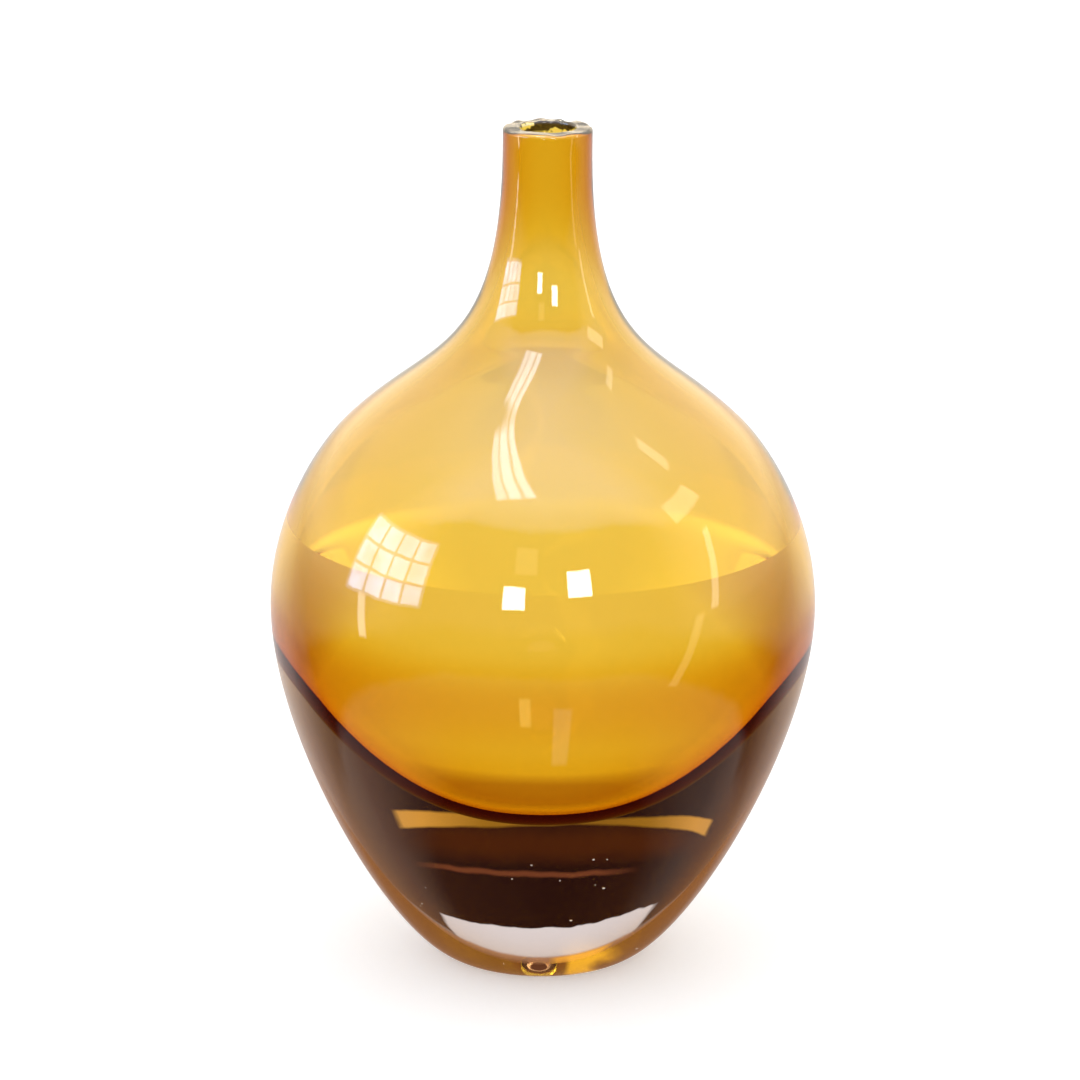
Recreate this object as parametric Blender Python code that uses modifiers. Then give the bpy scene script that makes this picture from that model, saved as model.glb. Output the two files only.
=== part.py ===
"""Glass bud vase: a thick clear casing blown over a thinner amber bubble.

Metres, +Z up. The vase stands on its flat ground foot, centred on the origin.
Both layers are turned shapes: a profile of arcs in the XZ plane, screwed once round Z.
"""

import math

import bmesh
import bpy
from mathutils import Vector
from mathutils.geometry import interpolate_bezier

MM = 0.001

# Outside of the vase
HEIGHT = 160.0 * MM
FOOT_RADIUS = 18.5 * MM
FOOT_EDGE_ROUND = 0.6 * MM
FOOT_RISE_ANGLE = 18.5
FOOT_REACH = 11.0 * MM
BELLY_RADIUS = 51.4 * MM
BELLY_HEIGHT = 68.5 * MM
BELLY_REACH_DOWN = 25.3 * MM
BELLY_REACH_UP = 15.3 * MM
SHOULDER_RADIUS = 37.9 * MM
SHOULDER_HEIGHT = 102.7 * MM
SHOULDER_SLOPE = 45.0
SHOULDER_REACH_DOWN = 8.0 * MM
SHOULDER_REACH_UP = 22.2 * MM
NECK_RADIUS = 8.3 * MM
NECK_TOP = 156.4 * MM
NECK_REACH_DOWN = 40.0 * MM

# Bubble: the surface where the amber layer meets the casing
BUBBLE_BOTTOM = 36.3 * MM
BUBBLE_FLAT_REACH = 9.5 * MM
BUBBLE_WAIST_RADIUS = 28.0 * MM
BUBBLE_WAIST_HEIGHT = 52.0 * MM
BUBBLE_WAIST_SLOPE = 50.0
BUBBLE_WAIST_REACH_DOWN = 17.5 * MM
BUBBLE_WAIST_REACH_UP = 12.0 * MM
BOWL_RIM_HEIGHT = 76.0 * MM
BOWL_RIM_REACH_DOWN = 9.0 * MM

# Thickness of the two layers, and the clearance that keeps them separate solids
CASING_RIM_WALL = 1.4 * MM
CASING_SHOULDER_WALL = 1.2 * MM
CASING_NECK_WALL = 0.8 * MM
AMBER_FLOOR = 2.2 * MM
AMBER_WALL = 1.5 * MM
AMBER_NECK_WALL = 2.0 * MM
LAYER_GAP = 0.3 * MM
CASING_LIP_ROUND = 0.45 * MM
AMBER_LIP_ROUND = 0.6 * MM
AMBER_LIP_DROP = 0.25 * MM

# Smoothness
TURN_STEPS = 48
LONG_ARC_POINTS = 10
SHORT_ARC_POINTS = 6
ROUND_POINTS = 4
SHARP_EDGE = math.radians(40.0)


def direction(degrees):
    """Unit vector in the profile plane, measured up from +X."""
    angle = math.radians(degrees)
    return Vector((math.cos(angle), 0.0, math.sin(angle)))


def station(radius, height):
    """Profile point at a radius and a height."""
    return Vector((radius, 0.0, height))


def arc(start, start_pull, end_pull, end, points):
    """Smooth arc between two profile points, leaving and arriving along the pulls."""
    return interpolate_bezier(start, start + start_pull, end + end_pull, end, points)


def joined(*arcs):
    """Arcs end to end, each shared point kept once."""
    line = list(arcs[0])
    for piece in arcs[1:]:
        line.extend(piece[1:])
    return line


def inset(line, depth_at):
    """A line that climbs the profile, moved towards the axis by depth_at(height)."""
    moved = []
    last = len(line) - 1
    for index, point in enumerate(line):
        along = line[min(index + 1, last)] - line[max(index - 1, 0)]
        inward = Vector((-along.z, 0.0, along.x)).normalized()
        if point.x == 0.0:
            inward = Vector((0.0, 0.0, 1.0))
        moved.append(point + inward * depth_at(point.z))
    return moved


def blend(low, high, start, end, height):
    """Ease from low to high between two heights."""
    share = min(max((height - start) / (end - start), 0.0), 1.0)
    share = share * share * (3.0 - 2.0 * share)
    return low + (high - low) * share


def quarter_round(centre, radius, start_degrees, end_degrees, points):
    """Points along a small round, both ends included."""
    swept = []
    for index in range(points):
        degrees = start_degrees + (end_degrees - start_degrees) * index / (points - 1)
        swept.append(centre + direction(degrees) * radius)
    return swept


def belly_curve():
    """Outside from the widest part of the belly up to the shoulder."""
    leaning = direction(180.0 - SHOULDER_SLOPE)
    return arc(
        station(BELLY_RADIUS, BELLY_HEIGHT),
        Vector((0.0, 0.0, BELLY_REACH_UP)),
        -leaning * SHOULDER_REACH_DOWN,
        station(SHOULDER_RADIUS, SHOULDER_HEIGHT),
        SHORT_ARC_POINTS + 2,
    )


def neck_curve():
    """Outside from the shoulder up to the top of the neck."""
    shoulder = station(SHOULDER_RADIUS, SHOULDER_HEIGHT)
    leaning = direction(180.0 - SHOULDER_SLOPE)
    neck = station(NECK_RADIUS, NECK_TOP)
    down = Vector((0.0, 0.0, -1.0))
    return arc(
        shoulder,
        leaning * SHOULDER_REACH_UP,
        down * NECK_REACH_DOWN,
        neck,
        LONG_ARC_POINTS + 4,
    )


def outside_line():
    """Outside of the vase, climbing from the foot to just below the lip."""
    up = Vector((0.0, 0.0, 1.0))
    foot = station(FOOT_RADIUS, 0.0)
    belly = station(BELLY_RADIUS, BELLY_HEIGHT)
    lower = arc(
        foot,
        direction(FOOT_RISE_ANGLE) * FOOT_REACH,
        -up * BELLY_REACH_DOWN,
        belly,
        LONG_ARC_POINTS + 2,
    )
    return joined(lower, belly_curve(), neck_curve())


def casing_wall(height):
    """Clear glass outside the amber, from the rim of the bowl up to the neck."""
    low = blend(
        CASING_RIM_WALL,
        CASING_SHOULDER_WALL,
        BOWL_RIM_HEIGHT,
        SHOULDER_HEIGHT,
        height,
    )
    return blend(low, CASING_NECK_WALL, SHOULDER_HEIGHT, NECK_TOP, height)


def bubble_line():
    """Amber surface, climbing from the axis under the bubble to the top of the neck."""
    out = Vector((1.0, 0.0, 0.0))
    bottom = station(0.0, BUBBLE_BOTTOM)
    waist = station(BUBBLE_WAIST_RADIUS, BUBBLE_WAIST_HEIGHT)
    rising = direction(BUBBLE_WAIST_SLOPE)
    wall = []
    for point in inset(joined(belly_curve(), neck_curve()), casing_wall):
        if point.z >= BOWL_RIM_HEIGHT:
            wall.append(point)
    climbing = (wall[1] - wall[0]).normalized()
    floor = arc(
        bottom,
        out * BUBBLE_FLAT_REACH,
        -rising * BUBBLE_WAIST_REACH_DOWN,
        waist,
        LONG_ARC_POINTS,
    )
    side = arc(
        waist,
        rising * BUBBLE_WAIST_REACH_UP,
        -climbing * BOWL_RIM_REACH_DOWN,
        wall[0],
        SHORT_ARC_POINTS + 1,
    )
    return joined(floor, side, wall)


def amber_thickness(height):
    """Amber is thickest where it pooled under the bubble, thin in the body."""
    low = blend(
        AMBER_FLOOR,
        AMBER_WALL,
        BUBBLE_BOTTOM,
        BUBBLE_WAIST_HEIGHT + 20.0 * MM,
        height,
    )
    return blend(low, AMBER_NECK_WALL, SHOULDER_HEIGHT, NECK_TOP, height)


def casing_profile():
    """Closed section of the clear casing: up the inside, over the lip, down the outside."""
    inside = bubble_line()
    outside = outside_line()
    bore = inside[-1].x
    lip_z = HEIGHT - CASING_LIP_ROUND
    inner_round = 0.5 * CASING_LIP_ROUND
    lip_in = quarter_round(
        station(bore + inner_round, HEIGHT - inner_round),
        inner_round,
        180.0,
        90.0,
        ROUND_POINTS,
    )
    lip_out = quarter_round(
        station(NECK_RADIUS - CASING_LIP_ROUND, lip_z),
        CASING_LIP_ROUND,
        90.0,
        0.0,
        ROUND_POINTS + 1,
    )
    foot_slope = 90.0 - FOOT_RISE_ANGLE
    foot_set_in = FOOT_EDGE_ROUND * math.tan(math.radians(0.5 * FOOT_RISE_ANGLE))
    foot = quarter_round(
        station(FOOT_RADIUS - foot_set_in, FOOT_EDGE_ROUND),
        FOOT_EDGE_ROUND,
        -foot_slope,
        -90.0,
        ROUND_POINTS - 1,
    )
    down = list(reversed(outside))[:-1]
    return inside + lip_in + lip_out + down + foot + [station(0.0, 0.0)]


def amber_profile():
    """Closed section of the amber layer: up the hollow, over the lip, down its outside."""
    meeting = bubble_line()
    skin = inset(meeting, lambda height: LAYER_GAP)
    hollow = inset(meeting, lambda height: LAYER_GAP + amber_thickness(height))
    top = HEIGHT - AMBER_LIP_DROP
    lip_z = top - AMBER_LIP_ROUND
    lip_in = quarter_round(
        station(hollow[-1].x + AMBER_LIP_ROUND, lip_z),
        AMBER_LIP_ROUND,
        180.0,
        90.0,
        ROUND_POINTS,
    )
    lip_out = quarter_round(
        station(skin[-1].x - AMBER_LIP_ROUND, lip_z),
        AMBER_LIP_ROUND,
        90.0,
        0.0,
        ROUND_POINTS,
    )
    return hollow + lip_in + lip_out + list(reversed(skin))


def glass(name, colour, roughness):
    """Glass material in one colour."""
    material = bpy.data.materials.new(name)
    material.use_nodes = True
    shader = material.node_tree.nodes["Principled BSDF"]
    shader.inputs["Base Color"].default_value = (*colour, 1.0)
    shader.inputs["Roughness"].default_value = roughness
    shader.inputs["IOR"].default_value = 1.5
    shader.inputs["Transmission Weight"].default_value = 1.0
    material.diffuse_color = (*colour, 1.0)
    return material


def turned(name, profile, material, collection):
    """One closed piece made by turning a profile once round Z."""
    mesh = bpy.data.meshes.new(name)
    mesh.from_pydata(
        [tuple(point) for point in profile],
        [(index, index + 1) for index in range(len(profile) - 1)],
        [],
    )
    piece = bpy.data.objects.new(name, mesh)
    collection.objects.link(piece)
    screw = piece.modifiers.new("Turn", "SCREW")
    screw.axis = "Z"
    screw.angle = 2.0 * math.pi
    screw.steps = TURN_STEPS
    screw.render_steps = TURN_STEPS
    screw.use_merge_vertices = True
    screw.merge_threshold = 0.00001
    bpy.context.view_layer.update()
    graph = bpy.context.evaluated_depsgraph_get()
    solid = bpy.data.meshes.new_from_object(piece.evaluated_get(graph))
    piece.modifiers.clear()
    shape = bmesh.new()
    shape.from_mesh(solid)
    bmesh.ops.recalc_face_normals(shape, faces=shape.faces)
    shape.to_mesh(solid)
    shape.free()
    piece.data = solid
    bpy.data.meshes.remove(mesh)
    solid.name = name
    solid.shade_smooth()
    solid.set_sharp_from_angle(angle=SHARP_EDGE)
    solid.materials.append(material)
    return piece


def main():
    for leftover in list(bpy.data.objects):
        bpy.data.objects.remove(leftover, do_unlink=True)
    vase = bpy.data.collections.new("glass_bud_vase")
    bpy.context.scene.collection.children.link(vase)
    clear = glass("clear_glass", (0.93, 0.91, 0.93), 0.02)
    amber = glass("amber_glass", (0.92, 0.58, 0.12), 0.03)
    turned("clear_outer_casing", casing_profile(), clear, vase)
    turned("amber_inner_layer", amber_profile(), amber, vase)


main()
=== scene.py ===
"""Hand-blown bud vase: an amber bubble cased in thick clear glass, on a plain pale stage.

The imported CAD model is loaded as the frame, and the pieces built here stand in for its nodes.
Everything is in metres, +Z up, with the foot of the vase centred on the origin.
"""

import math
import random

import bpy
from bpy.props import FloatProperty, FloatVectorProperty, IntProperty, PointerProperty
from mathutils import Matrix, Vector
from mathutils.geometry import interpolate_bezier


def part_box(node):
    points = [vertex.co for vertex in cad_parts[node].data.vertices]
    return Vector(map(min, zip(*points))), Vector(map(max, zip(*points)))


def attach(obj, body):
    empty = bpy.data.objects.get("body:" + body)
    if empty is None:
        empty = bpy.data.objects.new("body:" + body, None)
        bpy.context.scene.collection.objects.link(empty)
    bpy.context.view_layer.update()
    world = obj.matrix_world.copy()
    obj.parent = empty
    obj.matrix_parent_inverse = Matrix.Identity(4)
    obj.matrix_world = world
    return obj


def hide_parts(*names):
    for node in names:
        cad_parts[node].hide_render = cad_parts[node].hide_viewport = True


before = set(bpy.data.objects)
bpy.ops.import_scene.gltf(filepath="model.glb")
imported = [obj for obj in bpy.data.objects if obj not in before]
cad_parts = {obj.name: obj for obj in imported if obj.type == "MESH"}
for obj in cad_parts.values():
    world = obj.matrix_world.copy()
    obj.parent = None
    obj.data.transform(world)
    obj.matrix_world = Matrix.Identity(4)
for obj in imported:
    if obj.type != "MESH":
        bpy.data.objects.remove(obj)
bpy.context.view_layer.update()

bl_info = {
    "name": "Cased Bud Vase",
    "version": (1, 0, 0),
    "blender": (4, 5, 0),
    "location": "View3D > Sidebar > Vase",
    "description": "Builds a hand-blown bud vase of amber glass cased in clear, and its stage",
    "category": "Add Mesh",
}

MM = 0.001
CASING_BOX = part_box("clear_outer_casing")
UP = Vector((0.0, 0.0, 1.0))
OUT = Vector((1.0, 0.0, 0.0))
GLASS_IOR = 1.5

# Outside of the vase, as radii, heights and pulls of its arcs; slopes are in degrees up from level
FOOT_RISE_SLOPE = 18.5
FOOT_REACH = 11.0 * MM
FOOT_EDGE_ROUND = 0.6 * MM
FOOT_EDGE_SET_IN = 0.1 * MM
BELLY_HEIGHT = 68.5 * MM
BELLY_REACH_DOWN = 25.3 * MM
BELLY_REACH_UP = 15.3 * MM
SHOULDER_RADIUS = 37.9 * MM
SHOULDER_HEIGHT = 102.7 * MM
SHOULDER_SLOPE = 135.0
SHOULDER_REACH_DOWN = 8.0 * MM
SHOULDER_REACH_UP = 22.2 * MM
NECK_START = 156.4 * MM
NECK_REACH_DOWN = 40.0 * MM
MOUTH_ROUND = 0.55 * MM

# Where the amber meets the clear glass, and the clear wall outside it
BUBBLE_REACH = 9.5 * MM
WAIST_RADIUS = 28.0 * MM
WAIST_HEIGHT = 52.0 * MM
WAIST_SLOPE = 50.0
WAIST_REACH_DOWN = 17.5 * MM
WAIST_REACH_UP = 12.0 * MM
BOWL_RIM = 76.0 * MM
BOWL_RIM_REACH = 9.0 * MM
BOWL_TOP = 84.0 * MM
RIM_WALL = 1.4 * MM
SHOULDER_WALL = 1.2 * MM
NECK_WALL_LOSS = 0.5 * MM
NECK_WALL_END = 146.0 * MM
HOLLOW_SKIN = 0.04 * MM

# The amber layer's own thickness and lip
BODY_AMBER_START = 72.0 * MM
NECK_AMBER_START = 128.0 * MM
NECK_AMBER_END = 150.0 * MM
AMBER_LIP_DROP = 0.9 * MM
AMBER_LIP_ROUND = 0.35 * MM

# Wear on the lip: bearing in degrees, depth and reach in millimetres
LIP_MIDDLE = 6.9 * MM
KNOCK_GRIP = 0.75 * MM
LIP_KNOCKS = (
    (62.0, 0.75, 1.3),
    (84.0, 0.30, 1.6),
    (118.0, 0.40, 1.8),
    (150.0, 0.25, 1.5),
    (15.0, 0.30, 1.4),
    (-30.0, 0.15, 1.8),
    (-75.0, 0.22, 1.6),
    (-140.0, 0.20, 2.0),
    (205.0, 0.25, 1.4),
)

# Seeds: tiny air bubbles in the base
SEED_DRAW = 41
SEED_HEIGHTS = (7.0 * MM, 33.0 * MM)
SEED_SIZES = (0.07, 0.17)

# Turning
TURN_STEPS = 128
WELD = 0.000002
SHARP_EDGE = math.radians(35.0)

# Stage
FLOOR_RADIUS = 6.0
BACKDROP_RADIUS = 1.7
ROOM_RADIUS = 1.8
SHELL_HEIGHT = 0.03
AIR_STRENGTH = 1.02
AIM_HEIGHT = 80.67 * MM
LENS_SHIFT = -0.0032407
BLACK_BACK = (0.010, 0.001, 0.003)
WHITE = (1.0, 1.0, 1.0)
DEGREE = 180.0 / math.pi


# ---------------------------------------------------------------- settings


class CasingSizes(bpy.types.PropertyGroup):
    """The clear outer casing, from its ground foot to its lip."""

    height: FloatProperty(
        name="Height",
        description="Resting face to the top of the lip",
        default=CASING_BOX[1].z,
        unit="LENGTH",
        precision=4,
    )
    belly_radius: FloatProperty(
        name="Belly radius",
        description="Widest radius of the body",
        default=CASING_BOX[1].x,
        unit="LENGTH",
        precision=4,
    )
    foot_radius: FloatProperty(
        name="Foot radius",
        description="Radius of the flat ground face",
        default=18.5 * MM,
        unit="LENGTH",
        precision=4,
    )
    neck_radius: FloatProperty(
        name="Neck radius",
        description="Outside radius at the top of the neck",
        default=8.3 * MM,
        unit="LENGTH",
        precision=4,
    )
    lip_round: FloatProperty(
        name="Lip round",
        description="Fire-polished round on the outer edge of the lip",
        default=0.8 * MM,
        unit="LENGTH",
        precision=5,
    )
    seeds: IntProperty(
        name="Seeds",
        description="Tiny air bubbles in the solid base",
        default=15,
        min=0,
    )
    tint: FloatVectorProperty(
        name="Clear tint",
        description="Colour that the thick clear glass takes on",
        default=(0.90, 0.84, 0.88),
        size=3,
        min=0.0,
        max=1.0,
        subtype="COLOR",
    )
    tint_strength: FloatProperty(
        name="Tint strength",
        description="How quickly the clear glass takes on its tint",
        default=5.0,
        min=0.0,
    )


class AmberSizes(bpy.types.PropertyGroup):
    """The amber inner layer, from under the bubble to the mouth."""

    bottom: FloatProperty(
        name="Bubble bottom",
        description="Height of the underside of the amber bubble",
        default=36.3 * MM,
        unit="LENGTH",
        precision=4,
    )
    floor: FloatProperty(
        name="Floor thickness",
        description="Amber thickness under the bubble",
        default=1.9 * MM,
        unit="LENGTH",
        precision=5,
    )
    wall: FloatProperty(
        name="Body thickness",
        description="Amber thickness in the body",
        default=1.5 * MM,
        unit="LENGTH",
        precision=5,
    )
    neck: FloatProperty(
        name="Neck thickness",
        description="Amber thickness in the upper neck",
        default=2.4 * MM,
        unit="LENGTH",
        precision=5,
    )
    colour: FloatVectorProperty(
        name="Amber",
        description="Colour that the amber glass takes on",
        default=(0.932, 0.80, 0.06),
        size=3,
        min=0.0,
        max=1.0,
        subtype="COLOR",
    )
    strength: FloatProperty(
        name="Amber strength",
        description="How quickly the amber glass takes on its colour",
        default=1000.0,
        min=0.0,
    )


class StageSizes(bpy.types.PropertyGroup):
    """Where the camera stands and what lens it has."""

    distance: FloatProperty(
        name="Camera distance",
        description="Level distance from the vase's axis to the camera",
        default=0.9,
        unit="LENGTH",
    )
    lens: FloatProperty(
        name="Lens",
        description="Focal length",
        default=166.5,
        min=20.0,
    )
    rim_angle: FloatProperty(
        name="Rim angle",
        description="How steeply the camera looks down on the lip",
        default=math.radians(12.0),
        subtype="ANGLE",
    )
    roll: FloatProperty(
        name="Roll",
        description="Camera roll",
        default=math.radians(0.6),
        subtype="ANGLE",
    )


# ---------------------------------------------------------------- shader helpers


class Sock:
    """A socket that adds Math nodes when it is used in an expression."""

    def __init__(self, nodes, links, socket):
        self.nodes = nodes
        self.links = links
        self.socket = socket

    def math(self, operation, *values):
        node = self.nodes.new("ShaderNodeMath")
        node.operation = operation
        for index, value in enumerate(values):
            if isinstance(value, Sock):
                self.links.new(value.socket, node.inputs[index])
            else:
                node.inputs[index].default_value = value
        return Sock(self.nodes, self.links, node.outputs[0])

    def __add__(self, other):
        return self.math("ADD", self, other)

    __radd__ = __add__

    def __mul__(self, other):
        return self.math("MULTIPLY", self, other)

    __rmul__ = __mul__

    def __sub__(self, other):
        return self.math("SUBTRACT", self, other)

    def __rsub__(self, other):
        return self.math("SUBTRACT", other, self)

    def __truediv__(self, other):
        return self.math("DIVIDE", self, other)

    def __abs__(self):
        return self.math("ABSOLUTE", self)

    def __gt__(self, other):
        return self.math("GREATER_THAN", self, other)

    def __lt__(self, other):
        return self.math("LESS_THAN", self, other)


class Tone(Sock):
    """A colour or vector socket: plus adds a Vector Math node."""

    def __add__(self, other):
        node = self.nodes.new("ShaderNodeVectorMath")
        node.operation = "ADD"
        self.links.new(self.socket, node.inputs[0])
        self.links.new(other.socket, node.inputs[1])
        return Tone(self.nodes, self.links, node.outputs[0])


class Finish:
    """A material and the one way to add a node to it."""

    def __init__(self, name):
        self.material = bpy.data.materials.new(name)
        self.material.use_nodes = True
        self.tree = self.material.node_tree
        self.tree.nodes.clear()
        self.output = self.tree.nodes.new("ShaderNodeOutputMaterial")

    def node(self, kind, settings=None, output=0, **values):
        """Add a node: settings first, then the values or links of its sockets."""
        node = self.tree.nodes.new("ShaderNode" + kind)
        for key, value in (settings or {}).items():
            if key == "stops":
                elements = node.color_ramp.elements
                while len(elements) < len(value):
                    elements.new(0.5)
                for element, (place, colour) in zip(elements, value):
                    element.position = place
                    element.color = colour
            else:
                setattr(node, key, value)
        for key, value in values.items():
            head, _, number = key.rpartition("_")
            if number.isdigit():
                socket = node.inputs[int(number)]
            else:
                socket = self.usable(node, key.replace("_", " "))
            if isinstance(value, Sock):
                self.tree.links.new(value.socket, socket)
            else:
                socket.default_value = value
        return Sock(self.tree.nodes, self.tree.links, node.outputs[output])

    def usable(self, node, name):
        """The socket of that name that is switched on."""
        for socket in node.inputs:
            if socket.name == name and socket.enabled:
                return socket
        raise RuntimeError(f"{node.bl_idname} has no socket named {name}")

    def math(self, operation, *values):
        """A Math node for what has no sign in an expression."""
        sockets = {f"Value_{index}": value for index, value in enumerate(values)}
        return self.node("Math", {"operation": operation}, **sockets)

    def ray(self, output):
        """What the ray that sees this material has been through so far."""
        return self.node("LightPath", output=output)

    def axes(self, vector):
        """X, Y and Z of a vector."""
        return [self.node("SeparateXYZ", output=index, Vector=vector) for index in range(3)]

    def to_surface(self, shader):
        self.tree.links.new(shader.socket, self.output.inputs["Surface"])
        return self

    def to_volume(self, shader):
        self.tree.links.new(shader.socket, self.output.inputs["Volume"])
        return self


def clear_glass_finish(sizes):
    """Thick clear glass with a faint ripple, and painted dark flecks inside the far side of the mouth,
    standing in for dark reflections in a chipped lip.
    """
    finish = Finish("clear_casing_glass")
    place = finish.node("TexCoord", output=3)
    ripple = finish.node("TexNoise", Vector=place, Scale=55.0, Detail=2.0)
    bump = finish.node("Bump", Height=ripple, Strength=0.05, Distance=0.4 * MM)
    across, back, height = finish.axes(place)
    # painted dark reflections: near-black flecks in the glass colour on the inner lip, mostly at its
    # far side
    fleck_noise = finish.node("TexNoise", Vector=place, Scale=330.0, Detail=2.0, Roughness=0.6)
    fleck_noise = fleck_noise + back * 20.0
    painted_dark_flecks = soft_step(finish, fleck_noise, 0.55, 0.58)
    painted_dark_flecks = painted_dark_flecks * soft_step(finish, height, 157.0 * MM, 158.2 * MM)
    reach = across * across + back * back
    painted_dark_flecks = painted_dark_flecks * soft_step(finish, reach - back * 0.0025, 3.6e-5, 3.3e-5)
    colour = blended(finish, painted_dark_flecks, WHITE, (0.004, 0.002, 0.001))
    glass = finish.node(
        "BsdfPrincipled",
        Base_Color=colour,
        Roughness=0.0,
        IOR=GLASS_IOR,
        Transmission_Weight=1.0,
        Normal=bump,
    )
    tint = finish.node(
        "VolumeAbsorption",
        Color=(*sizes.tint, 1.0),
        Density=sizes.tint_strength,
    )
    finish.to_surface(glass).to_volume(tint)
    return finish.material


def bowl_finish():
    """The bowl of the bubble: light bends as it enters the glass there, not as it leaves."""
    finish = Finish("bowl_glass")
    sides = finish.node("NewGeometry", output=6)
    glass = finish.node(
        "BsdfPrincipled",
        Base_Color=(*WHITE, 1.0),
        Roughness=0.0,
        IOR=GLASS_IOR,
        Transmission_Weight=1.0,
    )
    straight = finish.node("BsdfTransparent")
    finish.to_surface(finish.node("MixShader", Fac=sides, Shader_1=glass, Shader_2=straight))
    return finish.material


def amber_glass_finish(sizes):
    """Amber glass fused inside the casing, so that its own faces don't bend light."""
    finish = Finish("amber_bubble_glass")
    glass = finish.node(
        "BsdfPrincipled",
        Base_Color=(*WHITE, 1.0),
        Roughness=0.0,
        IOR=1.0,
        Transmission_Weight=1.0,
        Specular_IOR_Level=0.0,
    )
    tint = finish.node(
        "VolumeAbsorption",
        Color=(*sizes.colour, 1.0),
        Density=sizes.strength,
    )
    finish.to_surface(glass).to_volume(tint)
    return finish.material


def compass(finish):
    """Height and bearing of each point of a shell in degrees, 0 behind the vase, and an unevenness."""
    place = finish.node("TexCoord", output=3)
    unit = finish.node("VectorMath", {"operation": "NORMALIZE"}, Vector_0=place)
    across, along, rise = finish.axes(unit)
    turn = finish.math("ARCTAN2", across, along)
    lift = finish.math("ARCSINE", rise)
    wobble = finish.node("TexNoise", Vector=unit, Scale=7.0, Detail=3.0)
    return lift * DEGREE, turn * DEGREE, wobble - 0.5


def ramp(finish, value, *stops):
    """A colour ramp over degrees or any other scale, its stops in ascending order."""
    low = stops[0][0]
    span = stops[-1][0] - low
    places = tuple(((place - low) / span, (*colour, 1.0)) for place, colour in stops)
    return finish.node("ValToRGB", {"stops": places}, Fac=(value - low) * (1.0 / span))


def blended(finish, share, first, second):
    """From the first colour to the second as the share goes from 0 to 1."""
    ends = [end if isinstance(end, Sock) else (*end, 1.0) for end in (first, second)]
    return finish.node("Mix", {"data_type": "RGBA"}, output=2, Factor=share, A=ends[0], B=ends[1])


def soft_step(finish, value, start, end):
    """0 up to the start, 1 from the end on, with a straight slope between."""
    return finish.node(
        "MapRange", Value=value, From_Min=start, From_Max=end, To_Min=0.0, To_Max=1.0
    )


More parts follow.
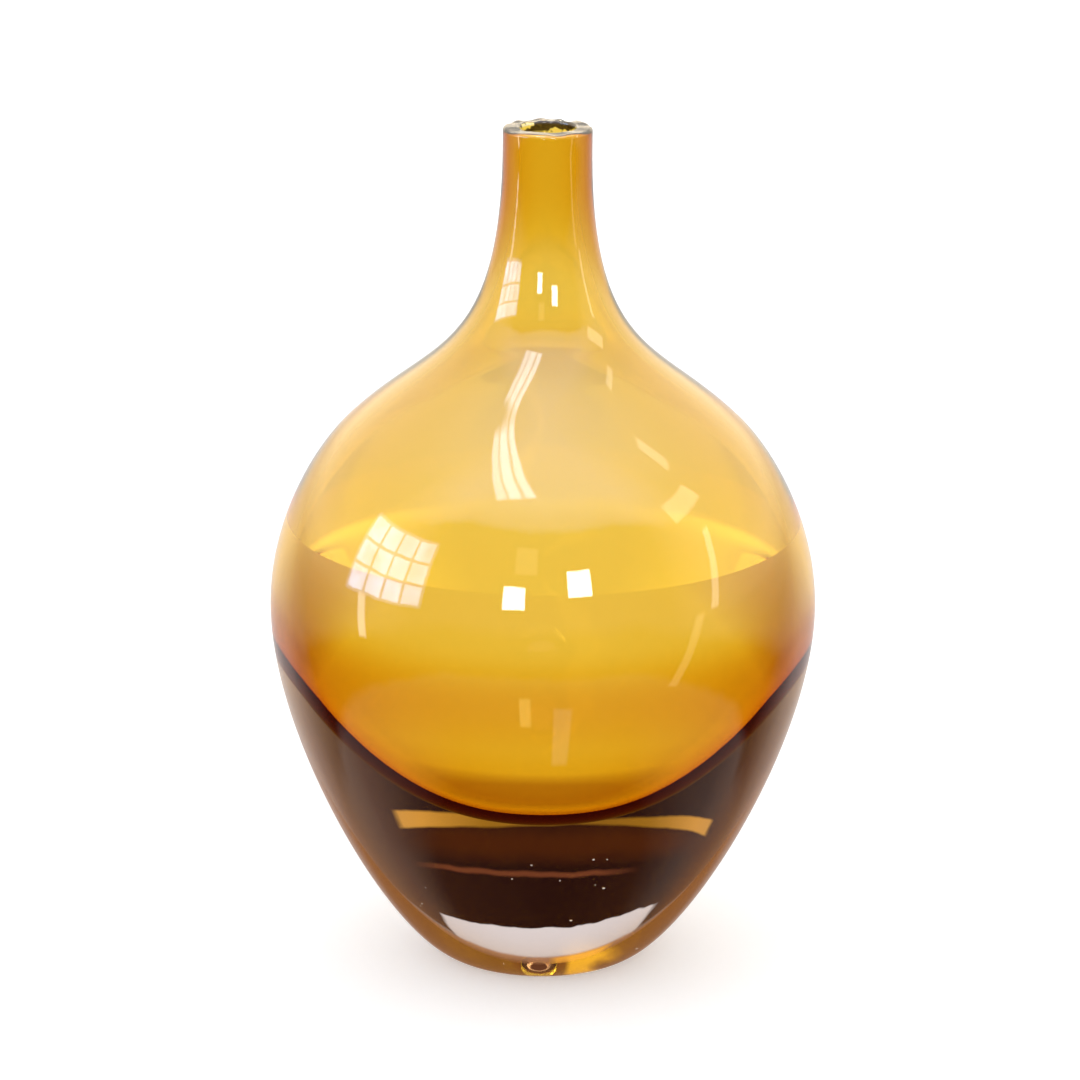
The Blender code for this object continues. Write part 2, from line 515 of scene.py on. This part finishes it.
def backdrop_finish():
    """What the glass shows behind it: a dark cloth under a low window, paler at both sides.

    Rays that have passed through the amber see the pale far side of the room instead, with a painted
    caustic glow high behind the vase.
    """
    finish = Finish("backdrop")
    lift, turn, wobble = compass(finish)
    aside = abs(turn + 5.0)
    cloth = ramp(
        finish,
        aside,
        (0.0, BLACK_BACK),
        (26.0, (0.018, 0.004, 0.005)),
        (38.0, (0.075, 0.028, 0.016)),
        (50.0, (0.145, 0.080, 0.050)),
        (60.0, (0.22, 0.135, 0.095)),
        (70.0, (0.38, 0.27, 0.21)),
        (82.0, (0.58, 0.46, 0.40)),
        (100.0, (0.90, 0.86, 0.84)),
    )
    shelf = lift - turn * turn * 0.0075
    russet = soft_step(finish, abs(shelf + wobble * 1.2 - 7.4), 2.6, 0.6)
    russet = russet * soft_step(finish, aside, 40.0, 20.0)
    cloth = blended(finish, russet, cloth, (0.060, 0.011, 0.003))
    thread = soft_step(finish, abs(shelf - 10.8 + wobble * 1.2), 0.5, 0.15)
    thread = thread * soft_step(finish, abs(turn - 4.0), 24.0, 14.0)
    cloth = blended(finish, thread, cloth, (0.17, 0.045, 0.018))
    shelf = shelf + wobble * 0.5
    slim = aside * 0.028 - 0.02
    ledge = soft_step(finish, abs(shelf - 5.2) - slim, 0.3, 0.0)
    ledge = ledge * soft_step(finish, aside + wobble * 8.0, 34.0, 32.0)
    brass = ramp(
        finish,
        aside,
        (0.0, (0.24, 0.10, 0.008)),
        (14.0, (0.36, 0.16, 0.012)),
        (26.0, (0.72, 0.33, 0.045)),
        (50.0, (0.72, 0.36, 0.080)),
    )
    cloth = blended(finish, ledge, cloth, brass)
    bowed = turn + 3.0
    sill = bowed * bowed * 0.005714 + 20.4
    pane = soft_step(finish, lift - sill + wobble * 3.0, 0.0, 0.4)
    pane = pane * soft_step(finish, abs(bowed + wobble * 9.0), 31.0, 29.0)
    high = ramp(
        finish,
        lift + wobble * 3.0,
        (20.0, (0.84, 0.76, 0.74)),
        (34.0, (0.82, 0.70, 0.62)),
        (36.5, (0.50, 0.25, 0.13)),
        (45.0, (0.32, 0.13, 0.05)),
        (60.0, (0.45, 0.24, 0.12)),
        (90.0, (0.80, 0.62, 0.50)),
    )
    glow = soft_step(finish, abs(turn + 15.0), 12.0, 8.0)
    glow = glow * soft_step(finish, abs(lift - 44.0), 9.0, 6.0)
    high = blended(finish, glow, high, (1.15, 0.50, 0.06))
    over = soft_step(finish, lift + wobble * 4.0, 33.0, 38.0)
    over = over * soft_step(finish, aside, 75.0, 45.0)
    shade = blended(finish, pane, cloth, high)
    shade = blended(finish, over, shade, high)
    far_side = ramp(
        finish,
        lift + wobble * 4.0,
        (-10.0, WHITE),
        (16.0, WHITE),
        (30.0, (0.46, 0.28, 0.20)),
        (60.0, (0.34, 0.20, 0.14)),
        (90.0, (0.34, 0.20, 0.14)),
    )
    grazing = soft_step(finish, lift, -1.5, 1.0) * soft_step(finish, lift, 20.0, 14.0)
    grazing = grazing * (finish.ray("Glossy Depth") < 0.5) * (finish.ray("Transmission Depth") < 4.5)
    far_side = blended(finish, grazing, far_side, (0.12, 0.07, 0.05))
    # painted caustic: a bright patch high behind the vase, standing in for light that the glass
    # focuses
    painted_caustic = soft_step(finish, abs(turn + 140.0) + wobble * 30.0, 22.0, 12.0)
    painted_caustic = painted_caustic * soft_step(finish, lift, 66.0, 71.0)
    far_side = blended(finish, painted_caustic, far_side, (1.5, 1.25, 0.9))
    through_amber = finish.ray("Transmission Depth") > 2.5
    shade = blended(finish, through_amber, shade, far_side)
    finish.to_surface(finish.node("Emission", Color=shade, Strength=1.0))
    return finish.material


def room_finish():
    """What the glass mirrors: table, dark table edge, wall and bright ceiling, pale behind."""
    finish = Finish("room")
    lift, turn, wobble = compass(finish)
    drop = soft_step(finish, abs(turn), 140.0, 60.0) * 24.0
    front = ramp(
        finish,
        lift + drop + wobble * 4.0,
        (-90.0, (0.02, 0.015, 0.015)),
        (-46.0, (0.03, 0.02, 0.02)),
        (-30.0, (0.30, 0.28, 0.26)),
        (-14.0, (0.42, 0.40, 0.38)),
        (-11.0, (0.05, 0.04, 0.03)),
        (4.0, (0.06, 0.05, 0.04)),
        (10.0, (0.50, 0.48, 0.46)),
        (45.0, (0.55, 0.52, 0.50)),
        (48.0, (1.7, 1.8, 2.3)),
        (62.0, (2.65, 3.0, 4.1)),
        (90.0, (3.05, 3.4, 4.6)),
    )
    rear = ramp(
        finish,
        lift,
        (-90.0, (0.16, 0.09, 0.06)),
        (-35.0, (0.32, 0.20, 0.15)),
        (-12.0, (0.98, 0.93, 0.91)),
        (2.0, (1.2, 1.1, 0.95)),
        (10.0, (2.3, 2.0, 1.55)),
        (26.0, (2.3, 2.0, 1.6)),
        (50.0, (2.5, 2.4, 2.2)),
        (90.0, (3.05, 3.4, 4.6)),
    )
    low = soft_step(finish, abs(turn), 66.0, 42.0)
    high = soft_step(finish, abs(turn), 125.0, 95.0) * soft_step(finish, lift, -6.0, 4.0)
    behind = finish.math("MAXIMUM", low, high)
    shade = blended(finish, behind, front, rear)
    lights = room_lights(finish, lift, turn, wobble)
    shade = finish.node("VectorMath", {"operation": "ADD"}, Vector_0=shade, Vector_1=lights)
    finish.to_surface(finish.node("Emission", Color=shade, Strength=1.0))
    return finish.material


def bar(finish, value, middle, half, soft=0.6):
    """1 within half a width of the middle, falling to 0 over a soft edge."""
    return soft_step(finish, abs(value - middle), half + soft, half)


def room_lights(finish, lift, turn, wobble):
    """Window, lamps, streaks and ceiling tubes; the bearing is 0 behind the camera."""
    bearing = finish.math("WRAP", 180.0 - turn, 180.0, -180.0)
    lift = lift + wobble * 1.5
    # the window at the left, with its glazing bars
    across = (bearing + 72.0) * (1.0 / 19.0)
    up = (lift - 20.0 - across * 2.0) * (1.0 / 11.5)
    pane = bar(finish, across, 0.0, 1.0, 0.05) * bar(finish, up, 0.0, 1.0, 0.06)
    uprights = finish.math("PINGPONG", across + 1.0, 0.25)
    rails = finish.math("PINGPONG", up + 1.0, 0.333)
    bars = soft_step(finish, uprights, 0.022, 0.045) * soft_step(finish, rails, 0.03, 0.06)
    window = pane * (bars * 0.7 + 0.3) * (wobble * 1.6 + 1.0)
    total = scaled(finish, window, (5.0, 8.0, 13.0))
    # lamps: bearing, height, half width, colour
    for middle, height, half, colour in (
        (-12.5, 20.8, 4.4, (26.0, 26.0, 26.0)),
        (16.3, 26.3, 5.0, (26.0, 26.0, 26.0)),
        (-8.0, 35.0, 5.0, (1.6, 1.3, 0.7)),
    ):
        lamp = bar(finish, bearing, middle, half, 0.7) * bar(finish, lift, height, half * 0.92, 0.7)
        total = total + scaled(finish, lamp, colour)
    # streaks: bearing, height, half width, half length, lean, colour
    for middle, height, half, reach, lean, colour in (
        (-80.0, 0.5, 1.6, 6.0, -0.25, (5.0, 5.5, 5.5)),
        (-7.1, -28.0, 2.0, 5.0, 0.0, (3.5, 2.9, 0.9)),
        (84.0, 39.5, 11.0, 3.4, -0.2, (4.0, 3.6, 2.6)),
        (81.0, 17.0, 1.6, 10.5, 0.45, (4.2, 4.0, 3.2)),
        (106.0, 55.0, 3.0, 4.0, 0.4, (3.2, 3.0, 2.4)),
        (62.0, -7.0, 1.8, 12.0, 0.5, (2.2, 1.9, 1.0)),
        (9.0, -36.0, 3.5, 9.0, 0.0, (1.0, 0.95, 0.9)),
    ):
        slanted = bearing - (lift - height) * lean
        streak = bar(finish, slanted, middle, half, 0.8) * bar(finish, lift, height, reach, 1.2)
        total = total + scaled(finish, streak, colour)
    return total + ceiling_tubes(finish, lift, bearing, wobble)


def scaled(finish, share, colour):
    """A colour times a share, as a sock that adds to other colours."""
    node = finish.node("VectorMath", {"operation": "SCALE"}, Vector_0=colour, Scale=share)
    return Tone(node.nodes, node.links, node.socket)


def ceiling_tubes(finish, lift, bearing, wobble):
    """Three long tubes overhead, a little to the left, running away from the camera."""
    reach = finish.math("TANGENT", (90.0 - lift) * (1.0 / DEGREE))
    side = reach * finish.math("SINE", bearing * (1.0 / DEGREE))
    near = reach * finish.math("COSINE", bearing * (1.0 / DEGREE))
    along = (near + 0.05) * (1.0 / 0.57)
    place = (side + 0.245 - along * 0.045) / (along * 0.10 + 0.050)
    ends = soft_step(finish, along, -0.02, 0.06) * soft_step(finish, along, 1.02, 0.96)
    high = soft_step(finish, lift, 40.0, 44.0)
    tubes = bar(finish, place, 0.0, 1.0, 0.1) * 0.35
    for middle, half, share in ((-0.74, 0.20, 0.7), (-0.02, 0.26, 1.0), (0.74, 0.18, 0.9)):
        tubes = tubes + bar(finish, place, middle, half, 0.12) * share
    return scaled(finish, tubes * ends * high, (5.5, 6.4, 8.0))


def floor_finish():
    """Plain pale floor, barely uneven.

    Through the glass it shows painted light: a painted glow near the vase, brighter still at both
    sides, and a painted shadow where the vase shades it behind the foot.
    """
    finish = Finish("pale_floor")
    place = finish.node("TexCoord", output=3)
    cloud = finish.node("TexNoise", Vector=place, Scale=9.0, Detail=3.0)
    shade = blended(finish, cloud, (0.86, 0.86, 0.86), (0.90, 0.90, 0.90))
    paint = finish.node(
        "BsdfPrincipled",
        Base_Color=shade,
        Roughness=0.9,
        Emission_Color=(*WHITE, 1.0),
        Emission_Strength=0.32,
    )
    across, back, _ = finish.axes(place)
    aside = across * across
    reach = aside + back * back
    # painted shadow of the vase on the floor behind the foot, seen only through the glass
    shadow = aside * 2.2 + (back - 0.076) * (back - 0.076) + (cloud - 0.5) * 0.0005
    shadow = soft_step(finish, shadow, 0.0010, 0.0003)
    # painted glow at both sides of the vase, seen only through the glass
    painted_side_glow = soft_step(finish, aside, 0.0002, 0.0016) * soft_step(finish, reach, 0.06, 0.02)
    # painted glow, brighter near the vase and fading further out
    away = soft_step(finish, reach, 0.03, 0.2)
    shade = blended(finish, away, (1.16, 1.12, 1.02), (1.03, 1.00, 0.94))
    shade = blended(finish, painted_side_glow, shade, (1.75, 1.70, 1.45))
    shade = blended(finish, shadow, shade, (0.72, 0.52, 0.40))
    lit = finish.node("Emission", Color=shade, Strength=1.0)
    in_glass = finish.ray("Transmission Depth") > 0.5
    finish.to_surface(finish.node("MixShader", Fac=in_glass, Shader_1=paint, Shader_2=lit))
    return finish.material


# ---------------------------------------------------------------- profiles


def direction(degrees):
    """Unit vector in the profile plane, measured up from level."""
    angle = math.radians(degrees)
    return Vector((math.cos(angle), 0.0, math.sin(angle)))


def station(radius, height):
    """Profile point at a radius and a height."""
    return Vector((radius, 0.0, height))


def joined(*arcs):
    """Arcs end to end, each shared point kept once."""
    line = list(arcs[0])
    for piece in arcs[1:]:
        line.extend(piece[1:])
    return line


def blend(low, high, start, end, height):
    """Ease from low to high between two heights."""
    share = min(max((height - start) / (end - start), 0.0), 1.0)
    share = share * share * (3.0 - 2.0 * share)
    return low + (high - low) * share


def inset(line, depth_at):
    """A line that climbs the profile, moved towards the axis by depth_at(height)."""
    moved = []
    last = len(line) - 1
    for index, point in enumerate(line):
        along = line[min(index + 1, last)] - line[max(index - 1, 0)]
        inward = Vector((-along.z, 0.0, along.x)).normalized()
        if point.x < 1e-9:
            inward = Vector((0.0, 0.0, 1.0))
        moved.append(point + inward * depth_at(point.z))
    return moved


def round_corner(centre, radius, start, end, points):
    """Points along a small round, from one slope to another in degrees."""
    return [
        centre + direction(start + (end - start) * index / (points - 1)) * radius
        for index in range(points)
    ]


def arc(start, start_pull, end_pull, end, points):
    """Smooth arc between two profile points, leaving and arriving along the pulls."""
    return interpolate_bezier(start, start + start_pull, end + end_pull, end, points)


def neck_arc(sizes, points):
    """Outside from the shoulder up to the top of the neck."""
    shoulder = station(SHOULDER_RADIUS, SHOULDER_HEIGHT)
    neck = station(sizes.neck_radius, NECK_START)
    leaving = direction(SHOULDER_SLOPE) * SHOULDER_REACH_UP
    return arc(shoulder, leaving, -UP * NECK_REACH_DOWN, neck, points)


def upper_arc(sizes, points):
    """Outside from the widest part of the belly up to the shoulder."""
    belly = station(sizes.belly_radius, BELLY_HEIGHT)
    shoulder = station(SHOULDER_RADIUS, SHOULDER_HEIGHT)
    arriving = -direction(SHOULDER_SLOPE) * SHOULDER_REACH_DOWN
    return arc(belly, UP * BELLY_REACH_UP, arriving, shoulder, points)


def outside_line(sizes):
    """Outside of the vase, climbing from the foot to just below the lip."""
    foot = station(sizes.foot_radius, 0.0)
    belly = station(sizes.belly_radius, BELLY_HEIGHT)
    leaving = direction(FOOT_RISE_SLOPE) * FOOT_REACH
    lower = arc(foot, leaving, -UP * BELLY_REACH_DOWN, belly, 40)
    return joined(lower, upper_arc(sizes, 20), neck_arc(sizes, 48))


def clear_wall(height):
    """Clear glass outside the amber, from the rim of the bowl up to the neck."""
    body = blend(RIM_WALL, SHOULDER_WALL, BOWL_RIM, SHOULDER_HEIGHT, height)
    return body - blend(0.0, NECK_WALL_LOSS, SHOULDER_HEIGHT, NECK_WALL_END, height)


def bubble_line(casing, amber):
    """Where the amber meets the clear glass, climbing from the axis to the mouth."""
    over = inset(joined(upper_arc(casing, 40), neck_arc(casing, 48)), clear_wall)
    wall = [point for point in over if point.z >= BOWL_RIM]
    climb = (wall[1] - wall[0]).normalized()
    bottom = station(0.0, amber.bottom)
    waist = station(WAIST_RADIUS, WAIST_HEIGHT)
    rise = direction(WAIST_SLOPE)
    floor = arc(bottom, OUT * BUBBLE_REACH, -rise * WAIST_REACH_DOWN, waist, 36)
    side = arc(waist, rise * WAIST_REACH_UP, -climb * BOWL_RIM_REACH, wall[0], 30)
    return joined(floor, side, wall)


def amber_depth(amber):
    """Thickness of the amber by height: floor, body, then the thicker neck."""

    def depth(height):
        low = blend(amber.floor, amber.wall, amber.bottom, BODY_AMBER_START, height)
        return blend(low, amber.neck, NECK_AMBER_START, NECK_AMBER_END, height)

    return depth


def casing_profile(casing, amber):
    """Section of the glass to its hollow: up the inside, over the lip, down to the foot."""
    depth = amber_depth(amber)
    hollow = inset(bubble_line(casing, amber), lambda z: depth(z) + HOLLOW_SKIN)
    outside = outside_line(casing)
    bore = hollow[-1].x
    top = casing.height
    mouth = station(bore + MOUTH_ROUND, top - MOUTH_ROUND)
    lip_in = round_corner(mouth, MOUTH_ROUND, 180.0, 90.0, 7)
    lip_out = round_corner(
        station(casing.neck_radius - casing.lip_round, top - casing.lip_round),
        casing.lip_round,
        90.0,
        0.0,
        8,
    )
    heel = station(casing.foot_radius - FOOT_EDGE_SET_IN, FOOT_EDGE_ROUND)
    foot = round_corner(heel, FOOT_EDGE_ROUND, FOOT_RISE_SLOPE - 90.0, -90.0, 4)
    inner_foot = [station(casing.foot_radius * share, 0.0) for share in (0.75, 0.5, 0.25)]
    lip_face = [lip_in[-1].lerp(lip_out[0], share) for share in (0.25, 0.5, 0.75)]
    down = list(reversed(outside))[:-1]
    return hollow + lip_in + lip_face + lip_out + down + foot + inner_foot + [station(0.0, 0.0)]


def amber_profile(casing, amber):
    """Closed section of the amber: up the hollow, over the lip, down its outside."""
    depth = amber_depth(amber)
    skin = bubble_line(casing, amber)
    hollow = inset(skin, depth)
    top = casing.height - AMBER_LIP_DROP
    edge = AMBER_LIP_ROUND
    lip_in = round_corner(station(hollow[-1].x + edge, top - edge), edge, 180.0, 90.0, 6)
    lip_out = round_corner(station(skin[-1].x - edge, top - edge), edge, 90.0, 0.0, 6)
    return hollow + lip_in + lip_out + list(reversed(skin))


# ---------------------------------------------------------------- modelling helpers


def deselect():
    """Back to object mode with nothing selected."""
    if bpy.context.object and bpy.context.object.mode != "OBJECT":
        bpy.ops.object.mode_set(mode="OBJECT")
    bpy.ops.object.select_all(action="DESELECT")


def drawn_and_spun(name, profile):
    """Draw the profile point by point, then spin it once round the axis."""
    deselect()
    bpy.ops.mesh.primitive_plane_add(size=0.001, location=(0.0, 0.0, 0.0))
    piece = bpy.context.object
    piece.name = name
    piece.data.name = name
    bpy.ops.object.mode_set(mode="EDIT")
    bpy.ops.mesh.select_all(action="SELECT")
    bpy.ops.mesh.merge(type="CENTER")
    bpy.ops.transform.translate(value=profile[0])
    for start, end in zip(profile, profile[1:]):
        bpy.ops.mesh.extrude_vertices_move(TRANSFORM_OT_translate={"value": end - start})
    bpy.ops.mesh.select_all(action="SELECT")
    bpy.ops.mesh.spin(
        steps=TURN_STEPS,
        angle=2.0 * math.pi,
        center=(0.0, 0.0, 0.0),
        axis=(0.0, 0.0, 1.0),
    )
    bpy.ops.mesh.select_all(action="SELECT")
    bpy.ops.mesh.remove_doubles(threshold=WELD)
    bpy.ops.mesh.normals_make_consistent(inside=False)
    bpy.ops.object.mode_set(mode="OBJECT")
    bpy.ops.object.shade_smooth_by_angle(angle=SHARP_EDGE)
    return piece


def chip_lip(piece, height):
    """Wear the lip: small dips and knocks round the mouth, easing off along the glass."""
    for bearing, dip, reach in LIP_KNOCKS:
        angle = math.radians(bearing)
        spot = Vector((math.cos(angle), math.sin(angle), 0.0)) * LIP_MIDDLE + UP * height
        deselect()
        bpy.context.view_layer.objects.active = piece
        piece.select_set(True)
        bpy.ops.object.mode_set(mode="EDIT")
        bpy.ops.mesh.select_mode(type="VERT")
        bpy.ops.mesh.select_all(action="DESELECT")
        bpy.ops.object.mode_set(mode="OBJECT")
        for vertex in piece.data.vertices:
            vertex.select = (vertex.co - spot).length < KNOCK_GRIP
        bpy.ops.object.mode_set(mode="EDIT")
        bpy.ops.transform.translate(
            value=(0.0, 0.0, -dip * MM),
            use_proportional_edit=True,
            use_proportional_connected=True,
            proportional_edit_falloff="SMOOTH",
            proportional_size=reach * MM,
        )
        bpy.ops.object.mode_set(mode="OBJECT")


def add_seeds(piece, count):
    """Blow tiny air bubbles into the solid base, where a real gather traps them."""
    chance = random.Random(SEED_DRAW)
    seeds = []
    for _ in range(count):
        height = chance.uniform(*SEED_HEIGHTS)
        reach = chance.uniform(0.1, 0.8) * (19.0 * MM + height * 0.4)
        angle = chance.uniform(0.0, 2.0 * math.pi)
        deselect()
        bpy.ops.mesh.primitive_ico_sphere_add(
            subdivisions=2,
            radius=chance.uniform(*SEED_SIZES) * MM,
            location=(reach * math.cos(angle), reach * math.sin(angle), height),
        )
        seed = bpy.context.object
        bpy.ops.object.mode_set(mode="EDIT")
        bpy.ops.mesh.select_all(action="SELECT")
        bpy.ops.mesh.faces_shade_smooth()
        bpy.ops.mesh.flip_normals()
        bpy.ops.object.mode_set(mode="OBJECT")
        seeds.append(seed)
    deselect()
    for seed in seeds:
        seed.select_set(True)
    piece.select_set(True)
    bpy.context.view_layer.objects.active = piece
    bpy.ops.object.join()


def stand_for(piece, material, node):
    """Give the piece its glass and let it stand in for a node of the model."""
    piece.data.materials.clear()
    piece.data.materials.append(material)
    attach(piece, "root")
    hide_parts(node)


# ---------------------------------------------------------------- operators


class VASE_OT_casing(bpy.types.Operator):
    """Blow the clear outer casing with its solid base and open neck"""

    bl_idname = "vase.add_casing"
    bl_label = "Clear casing"

    def execute(self, context):
        casing = context.scene.vase_casing
        amber = context.scene.vase_amber
        piece = drawn_and_spun("clear_casing", casing_profile(casing, amber))
        chip_lip(piece, casing.height)
        add_seeds(piece, casing.seeds)
        stand_for(piece, clear_glass_finish(casing), "clear_outer_casing")
        piece.data.materials.append(bowl_finish())
        for face in piece.data.polygons:
            inward = face.normal.x * face.center.x + face.normal.y * face.center.y < 0.0
            if (inward or face.normal.z > 0.9) and face.center.z < BOWL_TOP:
                face.material_index = 1
        return {"FINISHED"}


class VASE_OT_amber(bpy.types.Operator):
    """Blow the amber bubble and draw it up into the neck"""

    bl_idname = "vase.add_amber"
    bl_label = "Amber layer"

    def execute(self, context):
        casing = context.scene.vase_casing
        amber = context.scene.vase_amber
        piece = drawn_and_spun("amber_layer", amber_profile(casing, amber))
        stand_for(piece, amber_glass_finish(amber), "amber_inner_layer")
        return {"FINISHED"}


def hide_from(piece, *rays):
    """Leave the piece out of the rays named."""
    for ray in rays:
        setattr(piece, "visible_" + ray, False)


class VASE_OT_stage(bpy.types.Operator):
    """Lay the pale floor, hang the studio light and set up the camera"""

    bl_idname = "vase.set_stage"
    bl_label = "Stage"

    def execute(self, context):
        scene = context.scene
        sizes = scene.vase_stage
        casing = scene.vase_casing
        world = bpy.data.worlds.new("studio_air")
        scene.world = world
        world.use_nodes = True
        air = world.node_tree.nodes["Background"]
        air.inputs["Color"].default_value = (*WHITE, 1.0)
        air.inputs["Strength"].default_value = AIR_STRENGTH
        scene.view_settings.view_transform = "Standard"
        scene.cycles.max_bounces = 24
        scene.cycles.transmission_bounces = 24
        scene.cycles.glossy_bounces = 12

        deselect()
        bpy.ops.mesh.primitive_circle_add(vertices=64, radius=FLOOR_RADIUS, fill_type="NGON")
        floor = bpy.context.object
        floor.name = "floor"
        floor.data.materials.append(floor_finish())
        hide_from(floor, "glossy")
        backdrop = self.shell("backdrop_shell", BACKDROP_RADIUS, backdrop_finish())
        hide_from(backdrop, "camera", "diffuse", "shadow", "glossy")
        room = self.shell("room_shell", ROOM_RADIUS, room_finish())
        hide_from(room, "camera", "diffuse", "shadow", "transmission")

        deselect()
        camera_data = bpy.data.cameras.new("camera")
        camera = bpy.data.objects.new("camera", camera_data)
        scene.collection.objects.link(camera)
        scene.camera = camera
        camera_data.lens = sizes.lens
        camera_data.sensor_width = 36.0
        camera_data.clip_start = 0.01
        camera_data.clip_end = 50.0
        height = casing.height + sizes.distance * math.tan(sizes.rim_angle)
        camera.location = (0.0, -sizes.distance, height)
        aim = UP * AIM_HEIGHT - Vector(camera.location)
        turn = aim.to_track_quat("-Z", "Y").to_matrix().to_4x4()
        roll = Matrix.Rotation(sizes.roll, 4, "Z")
        camera.rotation_mode = "QUATERNION"
        camera.rotation_quaternion = (turn @ roll).to_quaternion()
        camera_data.shift_x = LENS_SHIFT
        return {"FINISHED"}

    def shell(self, name, radius, material):
        """A ball of surroundings, centred low on the vase's axis."""
        deselect()
        bpy.ops.mesh.primitive_uv_sphere_add(
            segments=64, ring_count=32, radius=radius, location=UP * SHELL_HEIGHT
        )
        ball = bpy.context.object
        ball.name = name
        ball.data.materials.append(material)
        return ball


class VASE_PT_panel(bpy.types.Panel):
    """Lists the vase's pieces and sizes in the sidebar"""

    bl_label = "Cased Bud Vase"
    bl_idname = "VASE_PT_panel"
    bl_space_type = "VIEW_3D"
    bl_region_type = "UI"
    bl_category = "Vase"

    def draw(self, context):
        for group in (
            context.scene.vase_casing,
            context.scene.vase_amber,
            context.scene.vase_stage,
        ):
            for key in group.bl_rna.properties.keys():
                if key not in ("rna_type", "name"):
                    self.layout.prop(group, key)
        for operator in OPERATORS:
            self.layout.operator(operator.bl_idname)


GROUPS = (CasingSizes, AmberSizes, StageSizes)
OPERATORS = (VASE_OT_casing, VASE_OT_amber, VASE_OT_stage)
CLASSES = GROUPS + OPERATORS + (VASE_PT_panel,)


def register():
    for item in CLASSES:
        bpy.utils.register_class(item)
    bpy.types.Scene.vase_casing = PointerProperty(type=CasingSizes)
    bpy.types.Scene.vase_amber = PointerProperty(type=AmberSizes)
    bpy.types.Scene.vase_stage = PointerProperty(type=StageSizes)


def unregister():
    del bpy.types.Scene.vase_stage
    del bpy.types.Scene.vase_amber
    del bpy.types.Scene.vase_casing
    for item in reversed(CLASSES):
        bpy.utils.unregister_class(item)


def main():
    register()
    bpy.ops.vase.add_casing()
    bpy.ops.vase.add_amber()
    bpy.ops.vase.set_stage()


if __name__ == "__main__":
    main()
